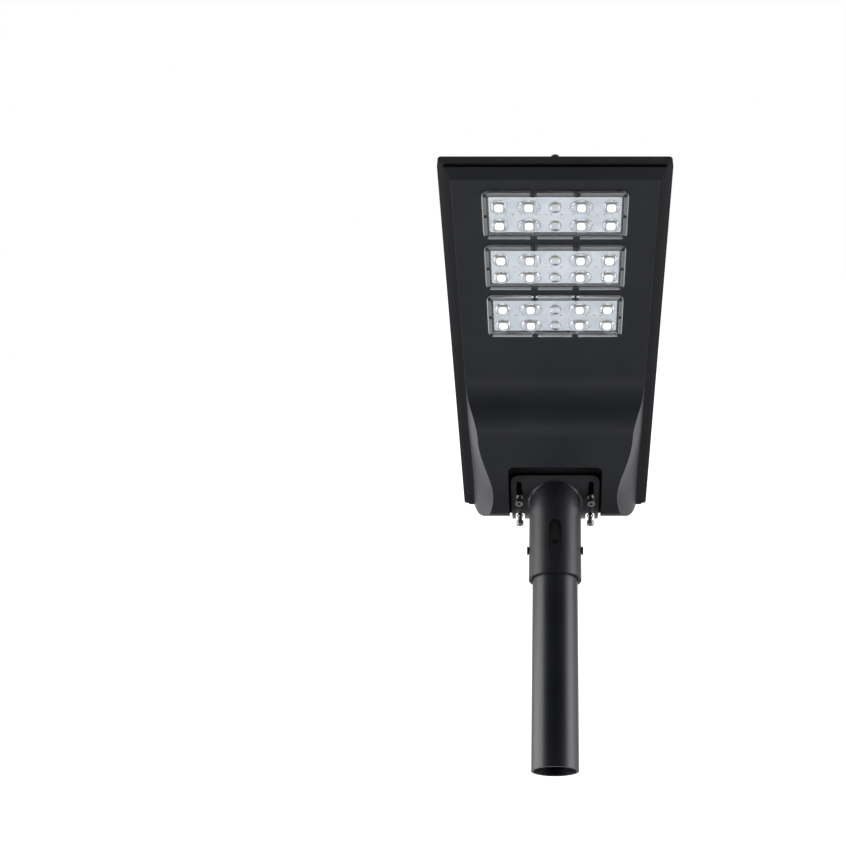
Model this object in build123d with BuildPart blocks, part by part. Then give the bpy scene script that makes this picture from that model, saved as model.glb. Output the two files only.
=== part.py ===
"""Solar street lamp head on a section of round pole, in millimetres.

+Z runs up the pole's axis and the origin is the centre of the pole section's lower end. The lamp
reaches out along -Y and its nose is raised by `rest_tilt`. The head is drawn in its own slanted
frame: u runs forward from the rear edge of its solar panel, w runs down from the rim, where the
cast housing meets the frame of the panel, and x is the same as the world's.
"""
from build123d import *
from math import asin, atan2, cos, degrees, radians, sin, sqrt, tan
import os

os.makedirs("parts", exist_ok=True)

# ---- pole and sleeve ----
pole_od = 60.0
pole_wall = 3.0
pole_engaged = 95.0          # length of the pole inside the sleeve
sleeve_mouth_z = 250.0       # height of the sleeve's open lower end
sleeve_wall = 4.0
sleeve_gap = 1.0             # radial play between the pole and the sleeve's bore
stop_ledge = 6.0             # ledge above the bore, on which the pole's top end stands
sleeve_cap = 6.0             # metal left between the narrow bore and the flange
groove_width = 16.5          # long blind groove on the front of the sleeve
groove_low, groove_high = 16.0, 74.0    # its ends, above the mouth
groove_deep, groove_shallow = 3.0, 0.4         # its floor slants out from the top to the bottom
set_screw_height = 42.0      # above the mouth
set_screw_d = 8.0
set_screw_reach = 0.2        # play between a screw's tip and the pole
set_head_d, set_head_h, set_key = 11.0, 2.4, 5.0
grub_sink, grub_lip, grub_key = 0.6, 0.5, 4.0

# ---- head: overall ----
rest_tilt = 15.0
head_back = 57.0             # rear edge of the rim, behind the pole's axis at rest
head_rise = 135.6            # the same edge, above the sleeve's mouth
head_length = 592.0
head_width = 255.0

# ---- solar panel ----
frame_height = 13.0
frame_bar = 14.0             # width of the frame's bar, seen from above
frame_corner_r = 4.0
frame_chamfer = 0.8
rebate_width = 6.5           # ledge on which the laminate lies
glass_thick = 3.2
glass_sink = 0.4
glass_play = 0.5             # all round, shared by both sides
glass_corner_r = 1.0
cell_thick = 0.4
backsheet_thick = 0.8
cell_columns, cell_rows = 4, 9
cell_gap = 3.0
cell_margin = 9.0
cell_corner = 4.0

# ---- housing ----
wall = 3.5
body_inset = 13.0            # body's side at the rim, in from the panel frame's side
flange_edge = 5.5            # strip of panel frame left bare outside the housing's flange
flange_thick = 4.0
rear_inset, nose_inset = 2.0, 2.0
rear_wall, nose_wall = 10.0, 11.0      # ends are thicker, for the seal and the screws
nose_bevel = 14.0
deck_depth = 8.0             # light deck, below the rim
belly_depth = 40.0           # battery belly, below the rim
slope_run = 81.0             # length of the S-shaped slope from the belly to the deck
rear_round_r = 30.0
cheek_level = 46.0           # depth at which the cheeks' insets are given
cheek_front_inset = 19.0     # beside the battery and further forward
cheek_waist_inset = 37.0     # beside the bracket
cheek_rear_inset = 23.0      # at the rear edge
cheek_waist_u, cheek_front_u = 56.0, 184.0     # where the waist lies and where the front inset is reached
cheek_round = 3.5            # how far the cheek stands out, halfway down, from a straight side
mitre_edge = 1.0             # nose bevel's mitred corner, in from the flange's corner

# ---- bracket ----
drum_u = 48.0                # centre of the curved seat, ahead of the rear edge
flange_sink = 3.0            # lowest line of the bracket's flange, above the belly's face
drum_r = 110.0               # radius of the flange's underside
bracket_thick = 6.0
seat_play = 0.4
bracket_lip_front, bracket_lip_rear = 11.0, 22.0   # flange ahead of and behind the sleeve
bracket_side = 11.0          # flange outside the bolts
bracket_corner_r = 10.0
bracket_fillet = 4.0         # between the sleeve and the flange
pocket_play = 3.3            # at each side of the flange
pocket_front_u = 127.0
pocket_ceiling = 11.0
pocket_corner_r = 10.0
tilt_travel = 8.0            # degrees that the nose can come down from rest
bolt_offset = 13.5           # bolts, out from the sleeve
bolt_d = 6.0
slot_play = 0.75
front_bolt_u, rear_bolt_u = 61.0, 14.0
slot_front_u = 82.0
notch_width = 12.5
bolt_gap = 6.5               # bare shank between the spring washer and the head
bolt_head_d, bolt_head_h, bolt_key = 10.0, 6.0, 5.0
bolt_grip = 13.0             # thread inside the housing
bolt_boss = 3.2              # metal round each bolt
spring_washer_d, spring_washer_h, spring_washer_gap = 9.4, 1.7, 1.2

# ---- light modules ----
module_count = 3
nose_gap = 30.65             # from the last module to the nose
module_gap = 11.8            # between two modules
module_width, module_depth = 161.0, 65.5
module_corner_r = 8.0
module_sink = 1.4
module_play = 0.5
lens_height = 4.5
lens_skin = 1.6
lens_edge = 6.0              # solid rim of the lens plate
lens_inner_r = 2.0
lens_chamfer = 1.0
gasket_inset = 0.2
dome_height, dome_round = 4.5, 3.6
dome_rows = 13.0             # half the distance between the two rows of light points
dome_end = 12.5              # outermost light points, in from the lens plate's rim
dome_wide_place = 0.468      # second light points, as a share of the outermost ones' distance
dome_outer_half, dome_wide_half, dome_centre_half = 9.0, 12.5, 7.0
dome_half_length = 9.0
board_thick = 1.2
board_play = 1.2
chip_size, chip_height = 3.5, 1.4
screw_inset = 3.6            # lens screws, in from the module's edge
screw_x = 24.0
lens_screw_d, lens_screw_head_d, lens_screw_head_h = 2.5, 4.6, 1.2
lens_screw_grip, lens_screw_key = 3.2, 1.5
lens_boss_d = 6.5

# ---- screws of the panel frame ----
frame_screw_edge = 2.8       # screws, in from the housing flange's side
frame_screw_rows = 5
frame_screw_end = 30.0       # first and last screw, in from the ends
frame_screw_d, frame_screw_head_d, frame_screw_head_h, frame_screw_key = 4.0, 7.4, 2.2, 2.5
screw_floor = 0.8            # metal left under a blind hole
hole_tail = 0.2              # depth of a blind hole past its screw
nose_screw_setback = 5.3
nose_dome_d, nose_dome_h = 10.0, 7.0
seal_width, seal_height = 3.0, 1.6
seal_edge = 5.7              # seal, in from the sides of the housing's flange
seal_end = 5.4               # and from its ends
seal_play = 0.1
bead_height = 0.6

# ---- inside ----
cell_d, cell_length, cell_count = 32.0, 67.0, 5
cell_space = 1.0             # between two cells
battery_gap = 8.0            # from the bracket's pocket to the cells
battery_floor_gap = 4.6      # under the holder
holder_wall, holder_play = 1.6, 0.3
holder_corner_r = 2.0
strap_width, strap_thick, strap_corner_r = 14.0, 1.0, 3.0
post_d, post_gap = 9.0, 2.6
post_screw_d, post_screw_head_d, post_screw_head_h, post_screw_grip = 4.0, 7.0, 2.2, 10.0
post_screw_key = 2.5
pcb_thick = 1.2
board_side = 6.0             # battery board, in from the holder's sides
board_share = 0.7            # its height against a cell's diameter
case_length, case_depth, case_height = 110.0, 34.0, 13.0
case_gap, case_top = 7.0, -4.0         # from the cells to the case; its lid's seat
case_wall, case_corner_r = 1.5, 2.0
case_board_rise = 4.0        # board above the case's floor
ear_size, ear_thick, ear_drop = 14.0, 2.0, 8.0
slope_lead = 39.0            # slope's rear end, behind the case's middle
junction_x, junction_gap = 52.0, 22.0
junction_length, junction_width, junction_height, junction_corner_r = 40.0, 56.0, 9.0, 3.0
lead_d, led_lead_d = 4.0, 2.4
lead_bend, lead_straight, lead_jog = 6.0, 7.0, 8.0
led_lead_pitch, led_lead_w, led_lead_bend = 6.0, -0.5, 3.4
battery_lead_w, battery_lead_side = 2.0, 18.0
grommet_d, grommet_head_d, grommet_head_h = 5.0, 8.0, 0.6
screw_play = 0.1             # radial play of every screw in its hole

pole_length = sleeve_mouth_z + pole_engaged
sleeve_od = pole_od + 2 * (sleeve_gap + sleeve_wall)
stop_bore = pole_od - 2 * stop_ledge
body_half = head_width / 2 - body_inset
bolt_x = sleeve_od / 2 + bolt_offset
bracket_half = bolt_x + bracket_side
bracket_front, bracket_rear = sleeve_od / 2 + bracket_lip_front, sleeve_od / 2 + bracket_lip_rear
pocket_half = bracket_half + pocket_play
cell_pitch = cell_d + cell_space
battery_u = pocket_front_u + battery_gap
battery_w = belly_depth - wall - battery_floor_gap - holder_wall - holder_play - cell_d / 2
case_u = battery_u + cell_length + case_gap + case_depth / 2
slope_rear_u = case_u - slope_lead
slope_front_u = slope_rear_u + slope_run
junction_u = case_u + case_depth / 2 + junction_gap + junction_length / 2

tilt = radians(rest_tilt)
forward = Vector(0, -cos(tilt), sin(tilt))
down = Vector(0, -sin(tilt), -cos(tilt))
rim = Plane(origin=(0, head_back, sleeve_mouth_z + head_rise), x_dir=(1, 0, 0), z_dir=down)     # local x, u
side = Plane(origin=rim.origin, x_dir=forward, z_dir=(1, 0, 0))          # local u, w
drum_w = belly_depth - flange_sink - drum_r
drum_centre = rim.origin + forward * drum_u + down * drum_w
drum_side = Plane(origin=drum_centre, x_dir=forward, z_dir=(1, 0, 0))
seat_r = drum_r - bracket_thick - seat_play
deck_skin = deck_depth - wall          # inner face of the light deck
recess_w = deck_depth - module_sink    # floor of each module's recess
glass_w = glass_sink - frame_height    # top of the glass
cells_w = glass_w + glass_thick
backsheet_w = cells_w + cell_thick
bead_w = backsheet_w + backsheet_thick
ledge_w = bead_w + bead_height
pane_width, pane_length = head_width - 2 * frame_bar - glass_play, head_length - 2 * frame_bar - glass_play
window_size = (pane_width - 2 * rebate_width, pane_length - 2 * rebate_width)
flange_width = head_width - 2 * flange_edge
flange_length = head_length - rear_inset - nose_inset
flange_mid = (head_length + rear_inset - nose_inset) / 2
frame_screw_x = flange_width / 2 - frame_screw_edge
module_pitch = module_depth + module_gap
module_last_u = head_length - nose_gap - module_depth / 2
module_us = [module_last_u - i * module_pitch for i in reversed(range(module_count))]


def save(piece, name):
    """Label a finished piece and write it."""
    piece.label = name
    export_step(piece, f"parts/{name}.step")


def at(x, u, w=0.0):
    """Plane across the head's depth with its origin at x, u, w."""
    return Plane(origin=rim.from_local_coords((x, u, w)), x_dir=(1, 0, 0), z_dir=down)


def upward(plane):
    """The same place, with its normal pointing up out of the panel."""
    return Plane(origin=plane.origin, x_dir=(1, 0, 0), z_dir=-plane.z_dir)


def drum_angle(u):
    """Angle round the drum, forward from its lowest line, of a point of the flange's underside."""
    return degrees(asin((u - drum_u) / drum_r))


def drum_plane(x, angle):
    """Plane on the drum's axis whose normal points out at the angle; local y is forward."""
    out = forward * sin(radians(angle)) + down * cos(radians(angle))
    return Plane(origin=drum_centre + Vector(x, 0, 0), x_dir=(1, 0, 0), z_dir=out)


def peg(plane, diameter, start, end):
    """Plain cylinder along a plane's normal."""
    with BuildPart() as piece:
        with BuildSketch(plane.offset(start)):
            Circle(diameter / 2)
        extrude(amount=end - start)
    return piece.part


def slab(width, length, corner_r, start, end, middle, x=0.0):
    """Rounded plate across the head from depth `start` to `end`."""
    with BuildPart() as piece:
        with BuildSketch(at(x, middle, start)):
            RectangleRounded(width, length, corner_r)
        extrude(amount=end - start)
    return piece.part


def cap_screw(plane, shank_d, tip, under_head, head_d, head_h, key):
    """Socket head screw: shank from `tip` to `under_head` along the normal, then its head."""
    with BuildPart() as piece:
        with BuildSketch(plane.offset(tip)):
            Circle(shank_d / 2)
        extrude(amount=under_head - tip)
        with BuildSketch(plane.offset(under_head)):
            Circle(head_d / 2)
        extrude(amount=head_h)
        with BuildSketch(plane.offset(under_head + head_h)):
            RegularPolygon(key / 2, 6, major_radius=False)
        extrude(amount=-head_h * 0.55, mode=Mode.SUBTRACT)
    return piece.part


def group(pieces, name):
    """Write several separate solids of one kind as one node."""
    save(Compound(children=[*pieces]), name)


# ---------------------------------------------------------------- pole and bracket
with BuildPart() as pole_tube:
    with BuildSketch(Plane.XY):
        Circle(pole_od / 2)
        Circle(pole_od / 2 - pole_wall, mode=Mode.SUBTRACT)
    extrude(amount=pole_length)
save(pole_tube.part, "pole_tube")

sleeve_bore_r = pole_od / 2 + sleeve_gap
flange_crown_z = (drum_centre + down * drum_r).Z
set_z = sleeve_mouth_z + set_screw_height
set_planes = [Plane(origin=(0, 0, set_z), x_dir=(0, 0, 1), z_dir=(cos(radians(a)), sin(radians(a)), 0))
              for a in (0, 180, 90, 270)]
bolt_planes = [drum_plane(x, drum_angle(u)) for u in (front_bolt_u, rear_bolt_u) for x in (-bolt_x, bolt_x)]
slot_width = bolt_d + 2 * slot_play
slot_front = drum_angle(slot_front_u)
slot_rear = drum_angle(front_bolt_u) - tilt_travel - degrees(2 * slot_play / drum_r)
slot_run = 2 * drum_r * sin(radians((slot_front - slot_rear) / 2))
groove_mid = sleeve_mouth_z + (groove_low + groove_high) / 2
groove_floor_y = (groove_deep + groove_shallow) / 2 - sleeve_od / 2
groove_slant = atan2(groove_deep - groove_shallow, groove_high - groove_low)
grub_seat = -groove_floor_y - tan(groove_slant) * (set_z - groove_mid)
flange_lead, flange_trail = asin(bracket_front / drum_r), -asin(bracket_rear / drum_r)
flange_reach = 1.6 * drum_r  # past the flange's far corners

with BuildPart() as flange_slab:
    with BuildSketch(drum_side):
        Circle(drum_r)
        Circle(drum_r - bracket_thick, mode=Mode.SUBTRACT)
        with BuildLine():
            Polyline((0, 0), (flange_reach * sin(flange_lead), flange_reach * cos(flange_lead)),
                     (flange_reach * sin(flange_trail), flange_reach * cos(flange_trail)), close=True)
        make_face(mode=Mode.INTERSECT)
    extrude(amount=bracket_half, both=True)
    front_face = flange_slab.faces().filter_by(GeomType.PLANE).filter_by(Axis.X, reverse=True)
    fillet(front_face.sort_by(Axis.Y)[0].edges().filter_by(Axis.X, reverse=True), bracket_corner_r)

with BuildPart() as over_flange:
    with BuildSketch(drum_side):
        Circle(drum_r - bracket_thick / 2)
    extrude(amount=head_width, both=True)

with BuildPart() as pole_bracket:
    with BuildSketch(Plane.XY.offset(sleeve_mouth_z)):
        Circle(sleeve_od / 2)
    extrude(amount=drum_centre.Z - sleeve_mouth_z)
    add(over_flange.part, mode=Mode.SUBTRACT)
    add(flange_slab.part)
    seam = pole_bracket.edges().filter_by(GeomType.BSPLINE).sort_by(SortBy.LENGTH)[-1]
    fillet(seam, bracket_fillet)
    with BuildSketch(Plane.XY.offset(sleeve_mouth_z)):
        Circle(sleeve_bore_r)
    extrude(amount=pole_length - sleeve_mouth_z, mode=Mode.SUBTRACT)
    with BuildSketch(Plane.XY.offset(pole_length)):
        Circle(stop_bore / 2)
    extrude(amount=flange_crown_z - sleeve_cap - pole_length, mode=Mode.SUBTRACT)
    with BuildSketch(Plane(origin=(0, groove_floor_y, groove_mid), x_dir=(1, 0, 0),
                           z_dir=(0, -cos(groove_slant), sin(groove_slant)))):
        SlotOverall(groove_high - groove_low, groove_width, rotation=90)
    extrude(amount=sleeve_wall, mode=Mode.SUBTRACT)
    for plane in set_planes:
        with BuildSketch(plane):
            Circle(set_screw_d / 2 + screw_play)
        extrude(amount=sleeve_od, mode=Mode.SUBTRACT)
    for x in (-bolt_x, bolt_x):
        with BuildSketch(drum_plane(x, (slot_front + slot_rear) / 2).offset(drum_r)):
            SlotCenterToCenter(slot_run, slot_width, rotation=90)
        extrude(amount=2 * bracket_thick, both=True, mode=Mode.SUBTRACT)
        with BuildSketch(drum_plane(x, drum_angle(rear_bolt_u)).offset(drum_r)):
            with Locations((0, slot_play - bracket_rear / 2)):
                SlotCenterToCenter(bracket_rear, notch_width, rotation=90)
        extrude(amount=4 * bracket_thick, both=True, mode=Mode.SUBTRACT)
save(pole_bracket.part, "pole_bracket")

set_tip = pole_od / 2 + set_screw_reach
group([cap_screw(plane, set_screw_d, set_tip, sleeve_od / 2 + set_screw_reach, set_head_d, set_head_h,
                 set_key) for plane in set_planes[:2]], "side_set_screws")
group([cap_screw(plane, set_screw_d, set_tip, grub_seat - grub_sink, set_screw_d, grub_lip, grub_key)
       for plane in set_planes[2:]], "grub_screws")

group([cap_screw(plane, bolt_d, seat_r - bolt_grip,
                 drum_r + 2 * seat_play + spring_washer_h + bolt_gap, bolt_head_d, bolt_head_h, bolt_key)
       for plane in bolt_planes], "bracket_bolts")


def spring_washer(plane):
    """Split ring under the flange."""
    with BuildPart() as piece:
        with BuildSketch(plane.offset(drum_r + seat_play)):
            Circle(spring_washer_d / 2)
            Circle(bolt_d / 2 + screw_play, mode=Mode.SUBTRACT)
            with Locations((0, -spring_washer_d / 2)):
                Rectangle(spring_washer_gap, spring_washer_d / 2, mode=Mode.SUBTRACT)
        extrude(amount=spring_washer_h)
    return piece.part


group([spring_washer(plane) for plane in bolt_planes], "spring_washers")


# ---------------------------------------------------------------- housing
def belly_outline(inset, rear_skin, nose_skin):
    """Side outline of the body, drawn inside its skin by the three walls; its top is above the rim."""
    top = -belly_depth
    rear_u, nose_u = rear_inset + rear_skin, head_length - nose_inset - nose_skin
    low_w, deck_w = belly_depth - inset, deck_depth - inset
    round_r = rear_round_r - rear_skin
    half_run, half_drop = (slope_front_u - slope_rear_u) / 2, (belly_depth - deck_depth) / 2
    slope_r = (half_run**2 + half_drop**2) / (2 * half_drop)
    lean, rise = half_run / slope_r, 1 - half_drop / slope_r
    mid = ((slope_rear_u + slope_front_u) / 2 - inset * lean, (belly_depth + deck_depth) / 2 - inset * rise)
    with BuildLine() as outline:
        Line((rear_u, top), (rear_u, low_w - round_r))
        RadiusArc((rear_u, low_w - round_r), (rear_u + round_r, low_w), round_r)
        Line((rear_u + round_r, low_w), (slope_rear_u, low_w))
        RadiusArc((slope_rear_u, low_w), mid, slope_r - inset)
        RadiusArc(mid, (slope_front_u, deck_w), -slope_r - inset)
        Polyline((slope_front_u, deck_w), (nose_u - nose_bevel, deck_w),
                 (nose_u, flange_thick - inset), (nose_u, top), (rear_u, top))
    return outline.line


def cheek_cutter(inset):
    """Wedge that cuts one leaf-shaped cheek; `inset` moves it inward to leave a wall."""
    outer, low_u, high_u = head_width, -cheek_waist_u, head_length + cheek_waist_u
    near = body_half - inset
    mitre_u = head_length - nose_inset - nose_bevel
    nose_u = head_length - nose_inset
    flare = flange_width / 2 - mitre_edge - body_half
    insets = (cheek_front_inset, cheek_waist_inset, cheek_rear_inset)
    with BuildPart() as wedge:
        for depth, share, bulge in ((0, 0, 0), (cheek_level / 2, 0.5, cheek_round), (cheek_level, 1, 0)):
            front, waist, tail = (near - share * size + bulge for size in insets)
            start, end = (2 * tail - waist, low_u), (front, cheek_front_u)
            with BuildSketch(rim.offset(depth)):
                with BuildLine():
                    Spline(start, (tail, 0), (waist, cheek_waist_u), end,
                           tangents=[(waist - tail, cheek_waist_u), (0, 1)])
                    Polyline(end, (front, mitre_u), (front + flare, nose_u), (front + flare, high_u),
                             (outer, high_u), (outer, low_u), start)
                make_face()
        loft()
    return wedge.part


def body_form(inset=0.0, rear_skin=0.0, nose_skin=0.0):
    """The whole body as a solid, or its cavity when walls are given."""
    cheek = cheek_cutter(inset)
    with BuildPart() as form:
        with BuildSketch(side):
            with BuildLine():
                add(belly_outline(inset, rear_skin, nose_skin))
            make_face()
        extrude(amount=flange_width / 2 - inset, both=True)
        add(cheek, mode=Mode.SUBTRACT)
        add(mirror(cheek, about=Plane.YZ), mode=Mode.SUBTRACT)
    return form.part


def pocket_form(skin=0.0):
    """Space that the bracket works in, or the same grown by a skin of metal round it."""
    low, back, radius = belly_depth + 40.0, -60.0, seat_r - skin
    ceiling = pocket_ceiling - skin
    arc_half = sqrt(radius**2 - (ceiling - drum_w)**2)
    front = pocket_front_u + skin
    with BuildPart() as form:
        with BuildSketch(side):
            with BuildLine():
                ThreePointArc((drum_u - arc_half, ceiling), (drum_u, drum_w + radius),
                              (drum_u + arc_half, ceiling))
                Polyline((drum_u + arc_half, ceiling), (front, ceiling), (front, low), (back, low),
                         (back, ceiling), (drum_u - arc_half, ceiling))
            make_face()
        extrude(amount=pocket_half + skin, both=True)
        with BuildSketch(at(0, (front + back) / 2, ceiling)):
            RectangleRounded(2 * (pocket_half + skin), front - back, pocket_corner_r + skin)
        extrude(amount=2 * low, mode=Mode.INTERSECT)
    return form.part


def inside(piece, form):
    """The part of a piece that lies within a form."""
    with BuildPart() as trimmed:
        add(piece)
        add(form, mode=Mode.INTERSECT)
    return trimmed.part


lens_screw_us = (module_depth / 2 - screw_inset, screw_inset - module_depth / 2)
lens_screw_spots = [(x, u) for x in (-screw_x, screw_x) for u in lens_screw_us]
lens_screw_spots += [(x, u) for x in (screw_inset - module_width / 2, module_width / 2 - screw_inset)
                     for u in (*lens_screw_us, 0.0)]
lens_screw_planes = [at(x, middle + u) for middle in module_us for x, u in lens_screw_spots]
lens_tip_w = deck_depth - module_sink - lens_screw_grip
frame_screw_us = [frame_screw_end + i * (head_length - 2 * frame_screw_end) / (frame_screw_rows - 1)
                  for i in range(frame_screw_rows)]
frame_screw_planes = [at(x, u) for x in (-frame_screw_x, frame_screw_x) for u in frame_screw_us]
frame_tip_w = flange_thick - screw_floor
nose_plane = at(0, head_length - nose_screw_setback)
battery_mid = battery_u + cell_length / 2
holder_width = (cell_count - 1) * cell_pitch + cell_d + 2 * (holder_play + holder_wall)
strap_w = battery_w - cell_d / 2 - holder_play
strap_post_x = holder_width / 2 + post_gap + post_d / 2
strap_planes = [at(x, battery_mid) for x in (-strap_post_x, strap_post_x)]
ear_w = case_top + ear_drop
ear_x = case_length / 2 + ear_size / 2
ear_planes = [at(x, case_u) for x in (-ear_x, ear_x)]
lead_xs = [led_lead_pitch * (i - (module_count - 1) / 2) for i in range(module_count)]
lead_planes = [at(x, u) for x, u in zip(lead_xs, module_us)]
seal_size = (flange_width - 2 * seal_edge, flange_length - 2 * seal_end)
seal_body = seal_width - seal_play

outer_form = body_form()
with BuildPart() as housing:
    add(outer_form)
    add(slab(flange_width, flange_length, frame_corner_r, 0, flange_thick, flange_mid))
    add(body_form(wall, rear_wall, nose_wall), mode=Mode.SUBTRACT)
    add(inside(pocket_form(wall), outer_form))
    for plane in bolt_planes:
        add(peg(plane, bolt_d + 2 * bolt_boss, seat_r - bolt_grip - bolt_boss, seat_r - 1))
    for plane in strap_planes:
        add(inside(peg(plane, post_d, strap_w, belly_depth), outer_form))
    for plane in ear_planes:
        add(inside(peg(plane, post_d, ear_w, belly_depth), outer_form))
    for plane in lens_screw_planes:
        add(peg(plane, lens_boss_d, lens_tip_w - screw_floor, deck_skin + wall / 2))
    add(pocket_form(), mode=Mode.SUBTRACT)
    split(bisect_by=rim, keep=Keep.TOP)
    for middle in module_us:
        add(slab(module_width + 2 * module_play, module_depth + 2 * module_play,
                 module_corner_r + module_play, recess_w, deck_depth + 1, middle), mode=Mode.SUBTRACT)
    for plane in bolt_planes:
        add(peg(plane, bolt_d + 2 * screw_play, seat_r - bolt_grip - hole_tail, drum_r), mode=Mode.SUBTRACT)
    for plane in lens_screw_planes:
        add(peg(plane, lens_screw_d + 2 * screw_play, lens_tip_w - hole_tail, deck_depth), mode=Mode.SUBTRACT)
    for plane in [*frame_screw_planes, nose_plane]:
        add(peg(plane, frame_screw_d + 2 * screw_play, -1, frame_tip_w + hole_tail), mode=Mode.SUBTRACT)
    for plane in [*strap_planes, *ear_planes]:
        add(peg(plane, post_screw_d + 2 * screw_play, strap_w - 1, ear_w + post_screw_grip + hole_tail),
            mode=Mode.SUBTRACT)
    for plane in lead_planes:
        add(peg(plane, grommet_d + 2 * screw_play, deck_skin - 1, deck_depth), mode=Mode.SUBTRACT)
    with BuildSketch(at(0, flange_mid)):
        RectangleRounded(*seal_size, frame_corner_r)
        RectangleRounded(seal_size[0] - 2 * seal_width, seal_size[1] - 2 * seal_width,
                         frame_corner_r - seal_width, mode=Mode.SUBTRACT)
    extrude(amount=seal_height, mode=Mode.SUBTRACT)
print("housing solids", len(housing.part.solids()), "valid", housing.part.is_valid)
save(housing.part, "housing")

with BuildPart() as frame_seal:
    with BuildSketch(at(0, flange_mid)):
        RectangleRounded(seal_size[0] - 2 * seal_play, seal_size[1] - 2 * seal_play,
                         frame_corner_r - seal_play)
        RectangleRounded(seal_size[0] - 2 * seal_body, seal_size[1] - 2 * seal_body,
                         frame_corner_r - seal_body, mode=Mode.SUBTRACT)
    extrude(amount=seal_height)
save(frame_seal.part, "frame_seal")

# ---------------------------------------------------------------- solar panel
with BuildPart() as panel_frame:
    add(slab(head_width, head_length, frame_corner_r, -frame_height, 0, head_length / 2))
    add(slab(pane_width + glass_play, pane_length + glass_play, glass_corner_r, -frame_height - 1, ledge_w,
             head_length / 2), mode=Mode.SUBTRACT)
    add(slab(*window_size, glass_corner_r, ledge_w - 1, 1, head_length / 2), mode=Mode.SUBTRACT)
    for plane in frame_screw_planes:
        add(peg(plane, frame_screw_d + 2 * screw_play, -frame_height, 1), mode=Mode.SUBTRACT)
        add(peg(plane, frame_screw_head_d + 4 * screw_play, -frame_height - 1,
                frame_screw_head_h - frame_height), mode=Mode.SUBTRACT)
    add(peg(nose_plane, frame_screw_d + 2 * screw_play, -frame_height - 1, 1), mode=Mode.SUBTRACT)
    chamfer(panel_frame.faces().sort_by(Axis(rim.origin, down))[0].outer_wire().edges(), frame_chamfer)
save(panel_frame.part, "panel_frame")

save(slab(pane_width, pane_length, glass_corner_r, glass_w, cells_w, head_length / 2), "solar_glass")
save(slab(pane_width, pane_length, glass_corner_r, backsheet_w, bead_w, head_length / 2), "backsheet")
with BuildPart() as glass_bead:
    add(slab(pane_width, pane_length, glass_corner_r, bead_w, ledge_w, head_length / 2))
    add(slab(*window_size, glass_corner_r, bead_w, ledge_w, head_length / 2), mode=Mode.SUBTRACT)
save(glass_bead.part, "glass_bead")

cell_width = (pane_width - 2 * cell_margin - (cell_columns - 1) * cell_gap) / cell_columns
cell_run = (pane_length - 2 * cell_margin - (cell_rows - 1) * cell_gap) / cell_rows
with BuildPart() as solar_cells:
    with BuildSketch(at(0, head_length / 2, cells_w)) as solar_cells_outline:
        with GridLocations(cell_width + cell_gap, cell_run + cell_gap, cell_columns, cell_rows):
            Rectangle(cell_width, cell_run)
        chamfer(solar_cells_outline.vertices(), cell_corner)
    extrude(amount=cell_thick)
save(solar_cells.part, "solar_cells")

save(slab(junction_width, junction_length, junction_corner_r, bead_w, bead_w + junction_height, junction_u,
          x=junction_x), "junction_box")

group([cap_screw(upward(plane), frame_screw_d, -frame_tip_w, frame_height - frame_screw_head_h,
                 frame_screw_head_d, frame_screw_head_h, frame_screw_key)
       for plane in frame_screw_planes], "frame_screws")

nose_up = upward(nose_plane)
with BuildPart() as nose_screw:
    with BuildSketch(nose_up.offset(-frame_tip_w)):
        Circle(frame_screw_d / 2)
    extrude(amount=frame_tip_w + frame_height)
    with BuildSketch(nose_up.offset(frame_height)):
        Circle(nose_dome_d / 2)
    extrude(amount=nose_dome_h)
    fillet(nose_screw.faces().sort_by(Axis(rim.origin, down))[0].edges(), nose_dome_d / 2 - 0.4)
save(nose_screw.part, "nose_screw")

# ---------------------------------------------------------------- light modules
inner_width, inner_depth = module_width - 2 * lens_edge, module_depth - 2 * lens_edge
face_w = deck_depth + lens_height
outer_x = inner_width / 2 - dome_end
wide_x = dome_wide_place * outer_x
dome_halves = {-outer_x: dome_outer_half, -wide_x: dome_wide_half, 0.0: dome_centre_half,
               wide_x: dome_wide_half, outer_x: dome_outer_half}
dome_spots = [(x, u) for x in dome_halves for u in (-dome_rows, dome_rows)]


def dome(x, u, half):
    """One lens bump over a light point, sunk a little into the plate it stands on."""
    foot = lens_skin / 2
    with BuildPart() as bump:
        with BuildSketch(at(x, u, face_w - foot)):
            Ellipse(half, min(half, dome_half_length))
        extrude(amount=dome_height + foot)
        fillet(bump.faces().sort_by(Axis(rim.origin, down))[-1].edges(), dome_round)
    return bump.part


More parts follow.
